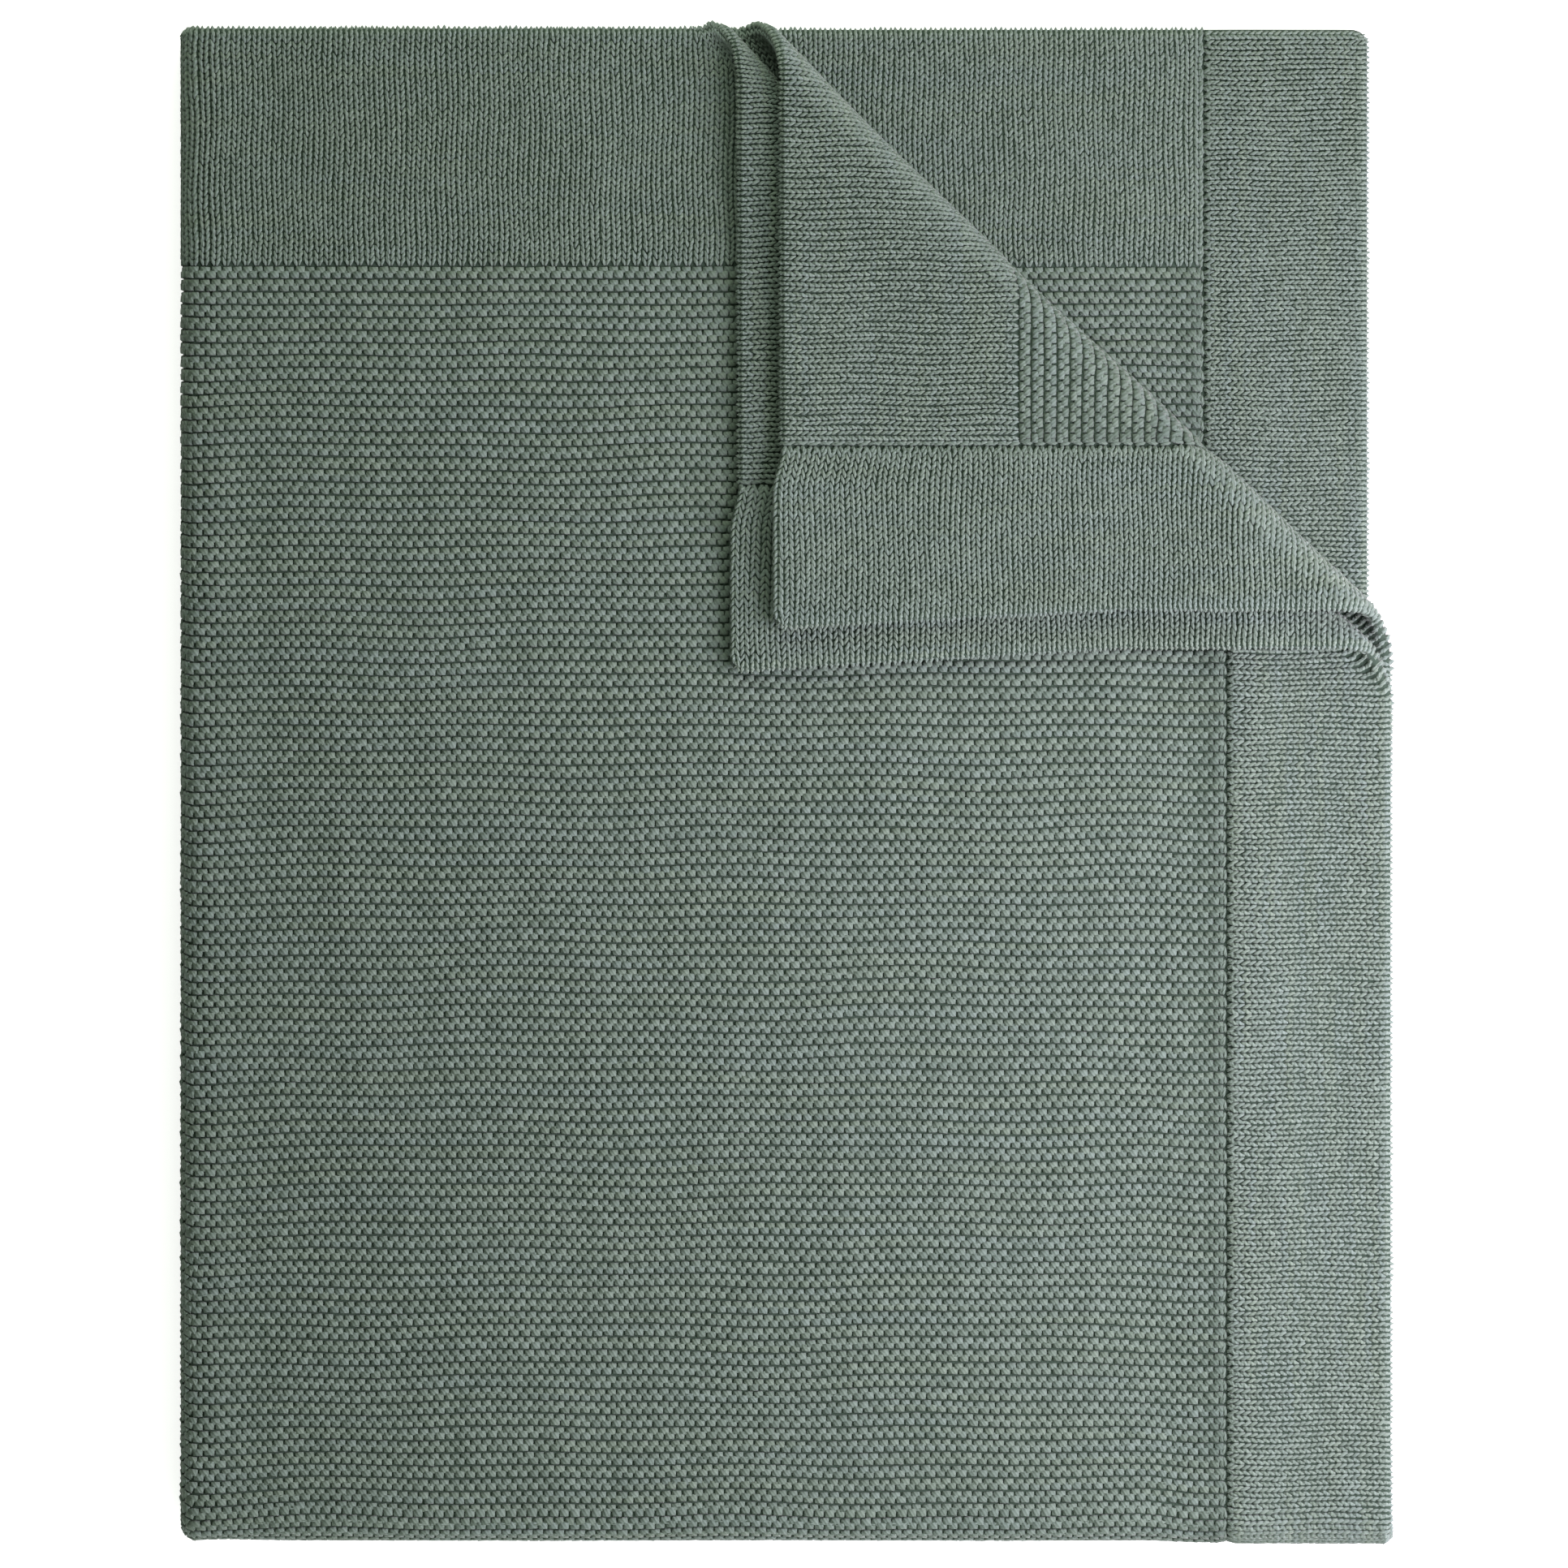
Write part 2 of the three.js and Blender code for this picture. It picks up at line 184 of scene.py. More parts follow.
def placeCloth(t, s):  # the middle of the cloth's thickness at (t, s) in the folded blanket, in mm
    outer, upper = t < halfWidth, s < halfLength
    nearSide = np.where(outer, t, cloth["width"] - t)
    nearEnd = np.where(upper, s, cloth["length"] - s)
    a = 1 - nearSide / cloth["cornerRound"]
    b = 1 - nearEnd / cloth["cornerRound"]
    inCorner = (a > 0) & (b > 0)
    pull = np.maximum(a, b) / np.where(inCorner, np.hypot(a, b), 1)
    aside = np.where(inCorner, cloth["cornerRound"] * (1 - a * pull), nearSide)
    lengthwise = np.where(inCorner, cloth["cornerRound"] * (1 - b * pull), nearEnd)
    leftAngle = math.pi * np.clip((t - leftFlat) / folded["leftCloth"], 0, 1)

    right = folded["right"] - folded["lowerLayersShort"] * ease(s, folded["shiftFrom"], folded["shiftTo"])
    nearX = runOf(aside, right, folded["left"], cloth["sideBand"], leftFlat)
    thickness, halfPair, turn, _, inBand = levelsAt(nearX, np.full_like(nearX, folded["bottom"]))
    foldY = folded["bottom"] - folded["bandStandsOut"] * inBand + thickness / 2 + turn + halfPair
    bottomCloth = math.pi * (turn + np.cos(leftAngle) * halfPair + folded["bottomSlack"])
    bottomFlat = halfLength - bottomCloth / 2
    bottomAngle = math.pi * np.clip((s - bottomFlat) / bottomCloth, 0, 1)
    nearY = runOf(lengthwise, folded["top"], folded["bottom"], cloth["endBorder"], bottomFlat)
    thickness, halfPair, _, _, _ = levelsAt(np.full_like(nearY, folded["left"]), nearY)
    foldX = folded["left"] + thickness / 2 + halfPair
    x = runOf(aside, right, foldX, cloth["sideBand"], leftFlat)
    y = runOf(lengthwise, folded["top"], foldY, cloth["endBorder"], bottomFlat)

    _, halfPair, turn, middle, _ = levelsAt(x, y)
    radius = turn + np.cos(leftAngle) * halfPair
    endPull = folded["cornerPull"] * np.sin(leftAngle) ** 4 * np.exp(-lengthwise / cloth["cornerRound"])
    hidden = np.where(outer == upper, 0, folded["hiddenLayersShort"])
    short = hidden * np.exp(-np.minimum(aside, lengthwise) / cloth["cornerRound"])
    places = np.stack([
        x - short * lengthwise / (aside + lengthwise) - halfPair * np.sin(leftAngle),
        y - short * aside / (aside + lengthwise) - endPull - radius * np.sin(bottomAngle),
        middle + radius * np.cos(bottomAngle),
    ], -1)

    mayTurn = upper & (aside < folded["cornerReach"]) & (lengthwise < folded["cornerReach"])
    for layer, spec in turned.items():
        mine = mayTurn & (outer if layer == 1 else ~outer)
        side, end = aside[mine], lengthwise[mine]
        band = cloth["sideBand"]
        wider = np.maximum(0, band - side) * spec["flare"] * np.maximum(0, 1 - end / spec["flareReach"])
        onBand = 1 - ease(side, 0.75 * band, band)
        longer = spec["proud"] * onBand * (1 - ease(end, 0, cloth["endBorder"]))
        places[mine] = turnCorner(layer, x[mine] + wider, y[mine] + longer)
    lift = liftAt(places[..., 0], places[..., 1], places[..., 2])
    toMiddle = [np.full_like(lift, folded[key]) for key in ("toMiddleX", "toMiddleY")]
    return places + np.stack(toMiddle + [lift], -1)


def unit(vectors):
    return vectors / np.linalg.norm(vectors, axis=-1, keepdims=True)


def clothFacing(t, s, nudge=0.4):  # the outer side's direction
    across = placeCloth(t + nudge, s) - placeCloth(t - nudge, s)
    along = placeCloth(t, s + nudge) - placeCloth(t, s - nudge)
    return unit(np.cross(across, along))


# each sheet is a little thinner than its solid, which leaves room for the stitches on it
sheets = {
    "stitchRoom": 0.8, "edgeRoom": 0.35, "roomGrows": (0.5, 3.5), "rollSteps": 12, "flapLines": 9,
    "bodyLines": (70, 392, 9), "bandLines": [13, 23, 33, 42], "edgeLines": [0, 0.35, 0.9, 2.2, 4.5],
    "grooveLines": [-3, -1.5, 0, 1.5, 3], "foldSteps": 12, "leastStep": 0.25,
    "firstRow": 9, "rowStep": 6, "leastRowStep": 0.3, "bottomFold": 13.5, "bottomStep": 1.3,
    "bareInset": (5, 12), "bareRows": (514, 523), "bareColumns": (380, 392),
}
pieces = {
    "main_panel": (cloth["sideBand"] + cloth["seamGap"] / 2,
                   cloth["width"] - cloth["sideBand"] - cloth["seamGap"] / 2),
    "side_band_a": (0, cloth["sideBand"] - cloth["seamGap"] / 2),
    "side_band_b": (cloth["width"] - cloth["sideBand"] + cloth["seamGap"] / 2, cloth["width"]),
}


def fromEdges(t, s, piece):  # how far a place is from the piece's nearest free edge and from its seam
    start, stop = pieces[piece]
    fromEnd = np.minimum(s, cloth["length"] - s)
    if piece == "main_panel":
        return fromEnd, np.minimum(t - start, stop - t)
    outside = np.minimum(t, cloth["width"] - t)
    return np.minimum(outside, fromEnd), pieces["side_band_a"][1] - outside


def halfThickness(t, s, piece):  # rounded at the piece's own edges, with a groove at its end borders
    fromFree, fromSeam = fromEdges(t, s, piece)
    seamRound = cloth["panelSeamRound"] if piece == "main_panel" else cloth["bandSeamRound"]
    bySeam = np.sqrt(1 - (1 - np.clip(fromSeam / seamRound, 0, 1)) ** 2)
    byEdge = np.sqrt(1 - (1 - np.clip(fromFree / cloth["edgeRound"], 0, 1)) ** 2)
    rounded = np.minimum(np.maximum(cloth["seamThinnest"], bySeam), np.maximum(cloth["thinnestEdge"], byEdge))
    if piece != "main_panel":
        return cloth["bandThickness"] / 2 * rounded
    fromEnd = np.minimum(s, cloth["length"] - s)
    toGroove = abs(fromEnd - cloth["endBorder"]) / cloth["grooveWidth"]
    groove = cloth["grooveDepth"] * np.maximum(0, 1 - toGroove)
    thickness = np.where(fromEnd < cloth["endBorder"], cloth["bandThickness"], cloth["garterThickness"])
    return thickness / 2 * rounded * (1 - groove)


def onSurface(t, s, piece, side, depth=0.0):  # a point on a piece's outer (1) or inner (-1) side, in mm
    out = clothFacing(t, s) * side
    return placeCloth(t, s) + out * (halfThickness(t, s, piece) - depth)[..., None]


def rollLine(layer, angle):
    def line(s):
        aside = folded["right"] + folded["top"] - s
        for _ in range(6):
            along = (folded["right"] - aside - folded["top"] + s) / root2
            _, start, _, taken = rollAt(layer, along)
            aside = folded["right"] + folded["top"] - s - root2 * (start + taken * angle / math.pi)
        return aside
    return line


def linesBetween(layer, start, stop, fixedLines):  # they follow the roll, and close up off the cloth
    inset = start + sheets["edgeLines"][-1]

    def limited(line):
        return lambda s: np.clip(line(s), inset, stop)

    def shared(line, share):
        return lambda s: blend(inset, np.clip(line(s), inset, stop), share)

    rollEnd, rollStart = rollLine(layer, math.pi), rollLine(layer, 0)
    lines = [lambda s, e=e: np.full_like(s, start + e) for e in sheets["edgeLines"]]
    for i in range(1, sheets["flapLines"] + 1):
        lines.append(shared(rollEnd, i / (sheets["flapLines"] + 1)))
    for i in range(sheets["rollSteps"] + 1):
        lines.append(limited(rollLine(layer, math.pi * (1 - i / sheets["rollSteps"]))))
    for fixed in fixedLines:
        lines.append(limited(lambda s, fixed=fixed: np.maximum(fixed, rollStart(s))))
    return lines


def mirrored(lines):
    return [lambda s, line=line: cloth["width"] - line(s) for line in reversed(lines)]


def sheetRows():
    ends = np.array(sheets["edgeLines"] + [cloth["endBorder"] + d for d in sheets["grooveLines"]])
    reach = sheets["bottomFold"]
    folds = np.arange(halfLength - reach, halfLength + reach, sheets["bottomStep"])
    body = np.arange(sheets["firstRow"], cloth["length"] - sheets["firstRow"] + 1, sheets["rowStep"])
    rows = np.sort(np.concatenate([ends, cloth["length"] - ends, folds, body]))
    kept = [rows[0]]
    for row in rows[1:]:
        if row - kept[-1] > sheets["leastRowStep"]:
            kept.append(row)
    return np.array(kept)


def underside(t, s):  # 1 where the lowest layer lies on the surface, away from its edges
    inner = ease(np.minimum(t, cloth["length"] - s), *sheets["bareInset"])
    return inner * ease(s, *sheets["bareRows"]) * (1 - ease(t, *sheets["bareColumns"]))


def putValues(mesh, name, values):  # a value or a vector for each point of a mesh
    kind, key = ("FLOAT_VECTOR", "vector") if values.ndim == 2 else ("FLOAT", "value")
    data = mesh.attributes.new(name, kind, "POINT").data
    data.foreach_set(key, values.ravel().astype(np.float32))


def readValues(items, key, width=1, kind=np.float32):
    values = np.zeros(len(items) * width, kind)
    items.foreach_get(key, values)
    return values


def linked(name, mesh):
    made = bpy.data.objects.new(name, mesh)
    bpy.context.scene.collection.objects.link(made)
    return made


def clothSheet(piece, lines):  # one closed sheet from lines and rows; its UV map is (t, s) in metres
    rows = sheetRows()
    ts = np.stack([line(rows) for line in lines], 1)
    ss = np.repeat(rows[:, None], len(lines), 1)
    index = np.zeros(ts.shape, int)
    keep = []
    for r in range(len(rows)):
        last = None
        for c in range(len(lines)):
            if last is None or ts[r, c] - last > sheets["leastStep"]:
                last = ts[r, c]
                keep.append((r, c))
            index[r, c] = len(keep) - 1
    flat = np.array([(ts[r, c], ss[r, c]) for r, c in keep])
    t, s = flat[:, 0], flat[:, 1]
    fromFree, _ = fromEdges(t, s, piece)
    room = blend(sheets["edgeRoom"], sheets["stitchRoom"], ease(fromFree, *sheets["roomGrows"]))
    outer = onSurface(t, s, piece, 1, room * (1 - underside(t, s)))
    inner = onSurface(t, s, piece, -1, room)
    points = np.concatenate([outer, inner]) * mm
    points[:, 2] = np.maximum(points[:, 2], 0)
    count = len(t)

    faces = []

    def face(*corners):
        ring = [c for i, c in enumerate(corners) if c != corners[i - 1]]
        if len(ring) > 2:
            faces.append(ring)

    for r in range(len(rows) - 1):
        for c in range(len(lines) - 1):
            a, b, e, d = index[r, c], index[r, c + 1], index[r + 1, c + 1], index[r + 1, c]
            face(a, b, e, d)
            face(d + count, e + count, b + count, a + count)
        first, last = index[r, 0], index[r, -1]
        firstNext, lastNext = index[r + 1, 0], index[r + 1, -1]
        face(first, firstNext, firstNext + count, first + count)
        face(lastNext, last, last + count, lastNext + count)
    for c in range(len(lines) - 1):
        a, b = index[0, c], index[0, c + 1]
        face(b, a, a + count, b + count)
        a, b = index[-1, c], index[-1, c + 1]
        face(a, b, b + count, a + count)

    mesh = bpy.data.meshes.new(piece + "_cloth")
    mesh.from_pydata(points.tolist(), [], faces)
    mesh.update()
    mesh.shade_smooth()
    places = np.concatenate([flat, flat]) * mm
    places = places[readValues(mesh.loops, "vertex_index", 1, np.int32)]
    mesh.uv_layers.new(name="clothMap").data.foreach_set("uv", places.ravel())
    putValues(mesh, "bare", np.concatenate([underside(t, s), np.zeros(count)]))
    return linked(piece + "_cloth", mesh)


def makeSheets():
    bodyLines = list(np.arange(*sheets["bodyLines"])) + [leftFlat]
    start, _ = pieces["main_panel"]
    fold = [leftFlat + folded["leftCloth"] * i / sheets["foldSteps"] for i in range(1, sheets["foldSteps"])]
    foldLines = [lambda s, f=f: np.full_like(s, f) for f in fold]
    panel = clothSheet("main_panel", linesBetween(1, start, leftFlat, bodyLines) + foldLines
                       + mirrored(linesBetween(2, start, leftFlat, bodyLines)))
    bands = []
    for layer, piece in ((1, "side_band_a"), (2, "side_band_b")):
        width = pieces["side_band_a"][1]
        inset = width - sheets["edgeLines"][-1]
        lines = linesBetween(layer, 0, inset, sheets["bandLines"] + [inset])
        lines += [lambda s, e=e: np.full_like(s, width - e) for e in reversed(sheets["edgeLines"][:-1])]
        bands.append(clothSheet(piece, lines if layer == 1 else mirrored(lines)))
    return [panel] + bands


clothPieces = makeSheets()
print("cloth sheets made:", [len(p.data.polygons) for p in clothPieces])


# a stitch is kept where it can be seen from above or from any side; the edges and the flaps are looked
# at in more directions than the rest, from the places (in metres) that are given here
sight = {
    "start": 1.6, "elevations": [8, 22, 40, 60], "turns": 8, "least": 0.12, "high": 0.3,
    "edges": (0.16, 0.21, 0.022), "flaps": (-0.03, 0.03),
}


def sightTree():
    vertices, polygons = [], []
    for piece in clothPieces:
        base = len(vertices)
        vertices += [v.co for v in piece.data.vertices]
        polygons += [[base + i for i in p.vertices] for p in piece.data.polygons]
    return BVHTree.FromPolygons(vertices, polygons)


def lookDirections():
    directions = [Vector((0, 0, 1))]
    for elevation in sight["elevations"]:
        for i in range(sight["turns"]):
            around, up = fullTurn * (i + 0.5) / sight["turns"], math.radians(elevation)
            level = math.cos(up)
            directions.append(Vector((math.cos(around) * level, math.sin(around) * level, math.sin(up))))
    return directions


coverTree = sightTree()
directions = lookDirections()
highDirections = [d for d in directions if d.z > sight["high"]]


def isSeen(points, facings):
    seen = np.zeros(len(points), bool)
    starts = (points + facings * sight["start"]) * mm
    edgeX, edgeY, edgeZ = sight["edges"]
    flapX, flapY = sight["flaps"]
    for i, (start, facing) in enumerate(zip(starts.tolist(), facings.tolist())):
        nearEdge = abs(start[0]) > edgeX or abs(start[1]) > edgeY or start[2] > edgeZ
        byFlaps = start[0] > flapX and start[1] > flapY
        for direction in directions if nearEdge else highDirections if byFlaps else directions[:1]:
            if direction.x * facing[0] + direction.y * facing[1] + direction.z * facing[2] < sight["least"]:
                continue
            if coverTree.ray_cast(start, direction)[0] is None:
                seen[i] = True
                break
    return seen


# knit stitches, in mm: a wale is a column of stitches and a course is a row of them
knit = {
    "borderWale": 3.37, "bandWale": 3.33, "bandWaleWidens": 0.26, "widens": (110, 260),
    "course": 2.04, "legSlant": 29, "legTilt": -4, "legsInward": 0.02,
    "firstRow": -0.5, "borderRowsShort": 0.5, "bandRowsStop": 52,
    "garterWale": 3.44, "ridge": 4.17, "halfRidge": 0.94, "garterInset": 2.35,
    "endBump": 0.42, "backRow": 0.97, "frontRow": 1.03,
    "leastStretch": 0.7, "mostStretch": 2.8, "edgeStretch": 0.75, "stretchGrows": (1, 6),
    # the stitches along free edges are made lighter, a painted highlight, and the garter by the seams darker,
    # painted shade
    "edgeHighlight": 1.1, "edgeHighlightEnds": (0.5, 2.6), "bandTone": 0.3, "borderTone": 0.2,
    "garterTone": -0.25, "seamPaintedShade": 0.75, "seamPaintedShadeReach": 10,
}
drift = {"rows": 0.55, "columns": 0.45, "fade": 30, "legs": 0.4, "legsFade": (1, 9), "jitter": 0.07}
coolRuns = {"reach": 12, "fade": 5, "middle": 0.5, "spread": 0.28}  # reach and fade in stitches
edgeGain = cloth["edgeRound"] * (math.pi / 2 - 1)  # the way over a rounded edge is longer by this


# how far a stitch has shifted in the cloth, so that rows and columns wander in waves of these lengths
def driftAt(t, s):
    fade = ease(np.minimum(t - cloth["sideBand"], cloth["width"] - cloth["sideBand"] - t), 0, drift["fade"])
    fade *= ease(np.minimum(s, cloth["length"] - s) - cloth["endBorder"], 0, drift["fade"])
    rows = wave(t, 131, 1.1, 0.8 * wave(s, 173)) * wave(s, 118, 0.4)
    rows += 0.6 * wave(t, 67, 2.3, 1.1 * wave(s, 97, 1.9))
    columns = wave(s, 143, 0.7, 1.2 * wave(t, 161)) + 0.5 * wave(s, 49, 0, t / 37)
    return drift["columns"] * columns * fade, drift["rows"] * rows * fade


def legDrift(t, s, piece):  # the wales of the smooth knitting wander a little too, away from its edges
    fromFree, fromSeam = fromEdges(t, s, piece)
    away = np.minimum(fromFree, fromSeam)
    if piece == "main_panel":
        away = np.minimum(away, cloth["endBorder"] - fromFree)
    sway = drift["legs"] * ease(away, *drift["legsFade"])
    return sway * wave(s, 47, 0.6, 1.1 * wave(t, 71)), sway * wave(t, 53, 2, 1.3 * wave(s, 89))


def surfaceFrame(t, s, piece, side, nudge=0.35):  # point, directions and stretch of a piece's side at (t, s)
    ways, stretches = [], []
    for dt, ds, place, size in ((nudge, 0, t, cloth["width"]), (0, nudge, s, cloth["length"])):
        way = onSurface(t + dt, s + ds, piece, side) - onSurface(t - dt, s - ds, piece, side)
        middle = placeCloth(t + dt, s + ds) - placeCloth(t - dt, s - ds)
        stretch, middleStretch = (np.linalg.norm(w, axis=-1) / (2 * nudge) for w in (way, middle))
        far = ease(np.minimum(place, size - place), *knit["stretchGrows"])
        most = blend(knit["edgeStretch"] * middleStretch, knit["mostStretch"], far)  # less over the edges
        stretches.append(np.clip(stretch, knit["leastStretch"], most))
        ways.append(way)
    across, along = ways
    out = unit(np.cross(across, along)) * side
    return onSurface(t, s, piece, side), unit(across), unit(along), out, *stretches


def overEdge(distance):  # distance from a free edge, for a way measured over the edge's rounding
    radius = cloth["edgeRound"]
    quarter = radius * math.pi / 2
    over = radius * (1 - np.cos(np.minimum(distance, quarter) / radius))
    return over + np.maximum(0, distance - quarter)


def evenSteps(start, stop, pitch):  # middles of a whole number of steps
    count = round((stop - start) / pitch)
    return start + (stop - start) / count * (np.arange(count) + 0.5)


def joinSets(sets):
    return {key: np.concatenate([one[key] for one in sets]) for key in sets[0]}


def pick(stitches, which):
    return {key: values[which] for key, values in stitches.items()}


def yarnRuns(shape, axis):  # a value for each stitch that changes slowly along its row of knitting
    reach = coolRuns["reach"]
    kernel = np.exp(-(np.arange(-reach, reach + 1) / coolRuns["fade"]) ** 2)
    runs = np.apply_along_axis(np.convolve, axis, random.standard_normal(shape), kernel, "same")
    return (coolRuns["middle"] + coolRuns["spread"] * runs / runs.std()).ravel()


def jittered(values):
    return values + drift["jitter"] * random.standard_normal(values.shape)


def tones(fromFree):  # each stitch is a little lighter or darker at random, and those along a free edge are lighter: a painted highlight on the rounded edges
    byEdge = 1 - ease(fromFree, *knit["edgeHighlightEnds"])
    return random.random(fromFree.shape) * (1 - 0.5 * byEdge) + knit["edgeHighlight"] * byEdge


def garterStitches(side):  # the bumps of garter stitch, two rows to a ridge, the second offset by half
    sets = []
    start = pieces["main_panel"][0] + knit["garterInset"]
    stop = cloth["width"] - start
    ridges = evenSteps(cloth["endBorder"], cloth["length"] - cloth["endBorder"], knit["ridge"])
    columns = np.linspace(start, stop, round((stop - start) / knit["garterWale"]) + 1)
    quarter = knit["garterWale"] / 4
    between = np.concatenate([[start - quarter], (columns[1:] + columns[:-1]) / 2, [stop + quarter]])
    for ti, way, big in ((columns, -1, knit["backRow"]), (between, 1, knit["frontRow"])):
        t, s = (a.ravel() for a in np.meshgrid(ti, ridges + way * knit["halfRidge"] * side))
        long = np.where((t < start) | (t > stop), knit["endBump"], 1)
        cool = yarnRuns((len(ridges), len(ti)), 1)
        shiftT, shiftS = driftAt(t, s)
        t, s = jittered(t + shiftT), jittered(s + shiftS)
        point, across, along, out, stretchT, stretchS = surfaceFrame(t, s, "main_panel", side)
        seen = isSeen(point, out)
        size = np.stack([stretchT * long, stretchS * big, np.full_like(t, big)], -1)
        _, fromSeam = fromEdges(t, s, "main_panel")
        # painted shade: the garter bumps near the seam are darkened, as if shaded by the higher band
        shade = knit["seamPaintedShade"] * np.exp(-(fromSeam / knit["seamPaintedShadeReach"]) ** 2)
        tone = random.random(len(t)) + knit["garterTone"] - shade
        bumps = {"point": point, "along": -way * across, "facing": out, "size": size, "cool": cool,
                 "hand": np.zeros_like(t), "tone": tone}
        sets.append(pick(bumps, seen))
    return joinSets(sets)


def legsOf(t, s, wide, piece, side, waleAlongS, towards, cool):  # both legs of the V at each (t, s)
    sets = []
    seen = np.zeros(len(t), bool)
    slant, tilt = math.radians(knit["legSlant"]), math.radians(knit["legTilt"])
    shiftT, shiftS = legDrift(t, s, piece)
    t, s = jittered(t + shiftT), jittered(s + shiftS)
    for leg in (-1, 1):
        quarter = leg * (wide / 4 - knit["legsInward"])
        tl, sl = (t + quarter, s) if waleAlongS else (t, s + quarter)
        point, across, along, out, stretchT, stretchS = surfaceFrame(tl, sl, piece, side)
        seen |= isSeen(point, out)
        wale, course = (along, across) if waleAlongS else (across, along)
        stretchW, stretchC = (stretchS, stretchT) if waleAlongS else (stretchT, stretchS)
        heading = wale * (math.cos(slant) * -towards)[:, None] + course * (leg * math.sin(slant))
        heading = unit(heading) * math.cos(tilt) + out * math.sin(tilt)
        size = np.stack([stretchW, stretchC * wide / knit["borderWale"], np.ones_like(t)], -1)
        hand = leg * side * towards * (-1 if waleAlongS else 1)
        fromFree, _ = fromEdges(tl, sl, piece)
        tone = tones(fromFree) + (knit["borderTone"] if waleAlongS else knit["bandTone"])
        sets.append({"point": point, "along": unit(heading), "facing": out, "size": size, "cool": cool,
                     "hand": hand, "tone": tone})
    return pick(joinSets(sets), np.tile(seen, 2))


def borderStitches(side):  # stocking stitch at both ends of the main panel, its wales along s
    sets = []
    start, stop = pieces["main_panel"]
    ti = evenSteps(start, stop, knit["borderWale"])
    lastRow = cloth["endBorder"] + edgeGain - knit["borderRowsShort"]
    rows = overEdge(evenSteps(knit["firstRow"], lastRow, knit["course"]))
    for far in (False, True):
        t, d = (a.ravel() for a in np.meshgrid(ti, rows))
        s = cloth["length"] - d if far else d
        towards = np.full_like(t, -1.0 if far else 1.0)
        cool = yarnRuns((len(rows), len(ti)), 1)
        sets.append(legsOf(t, s, knit["borderWale"], "main_panel", side, True, towards, cool))
    return joinSets(sets)


def bandWales():  # where the wales of a side band lie along s: they are a little wider away from the ends
    s = np.linspace(0, cloth["length"], 4001)
    nearEnd = np.minimum(s, cloth["length"] - s)
    wide = knit["bandWale"] + knit["bandWaleWidens"] * ease(nearEnd, *knit["widens"])
    counted = np.concatenate([[0], np.cumsum((s[1] - s[0]) * 2 / (wide[1:] + wide[:-1]))])
    counted *= round(counted[-1]) / counted[-1]
    middles = np.arange(round(counted[-1])) + 0.5
    return np.interp(middles, counted, s), np.interp(middles, counted, wide)


def bandStitches(piece, side):  # stocking stitch on a side band, its wales across the band
    si, wide = bandWales()
    lastRow = knit["bandRowsStop"] + edgeGain + knit["course"] / 2
    rows = overEdge(evenSteps(knit["firstRow"], lastRow, knit["course"]))
    d, s = (a.ravel() for a in np.meshgrid(rows, si))
    wide = np.repeat(wide, len(rows))
    t = cloth["width"] - d if piece == "side_band_b" else d
    towards = np.full_like(t, -1.0 if piece == "side_band_b" else 1.0)
    return legsOf(t, s, wide, piece, side, False, towards, yarnRuns((len(si), len(rows)), 0))


# the seams are linked by hand: a chain on the panel's side, tied over to the band twice at every ridge
seams = {"tone": 0.3, "chainAt": 0.75, "swing": 0.12, "slant": 9, "tieAt": 1.0, "tieSlant": 25,
         "linkStretch": (0.7, 1.6)}


def seamLinks(piece, tie):  # the chain links, or the ties beside them
    sets = []
    s = evenSteps(0, cloth["length"], knit["ridge"] / 2 if tie else knit["ridge"])
    hand = np.where(np.arange(len(s)) % 2, 1.0, -1.0)
    fromSeam = -seams["tieAt"] if tie else seams["chainAt"] + seams["swing"] * hand
    t = cloth["sideBand"] + fromSeam + np.zeros_like(s)
    if piece == "side_band_b":
        t = cloth["width"] - t
    for side in (1, -1):
        point, across, along, out, _, stretchS = surfaceFrame(t, s, piece if tie else "main_panel", side)
        seen = isSeen(point, out)
        turn = np.radians(seams["tieSlant"] if tie else seams["slant"]) * hand[:, None]
        heading = (across if tie else along) * np.cos(turn) + (along if tie else across) * np.sin(turn)
        stretch = np.ones_like(t) if tie else np.clip(stretchS, *seams["linkStretch"])
        size = np.stack([stretch, np.ones_like(t), np.ones_like(t)], -1)
        links = pick({"point": point, "along": heading, "facing": out, "size": size,
                      "cool": np.full_like(t, 0.5), "hand": np.zeros_like(t)}, seen)
        # the links and ties take only dark tones: painted shade, for they lie deep in the seam's valley
        sets.append({**links, "tone": seams["tone"] * random.random(seen.sum())})
    return joinSets(sets)


# the form of one stitch, in shares of its length, width and height: each ring of a form is a place
# along the yarn, half the width low down and high up, and how low and how high it reaches; bend says
# how far its ends turn to one side, and skew how far its sides lean with the edge of its wale
forms = {
    "leg": {"tip": (-0.5, -0.3), "rings": [(-0.31, 0.54, 0.38, -0.5, 0.42), (0.29, 0.52, 0.37, -0.5, 0.5)],
            "end": (0.5, -0.3), "bend": 0, "skew": 0.85},
    "bump": {"tip": (-0.5, -0.2), "rings": [(-0.43, 0.53, 0.41, -0.26, 0.3), (0.43, 0.53, 0.41, -0.26, 0.3)],
             "end": (0.5, -0.2), "bend": 0.15, "skew": 0},
}


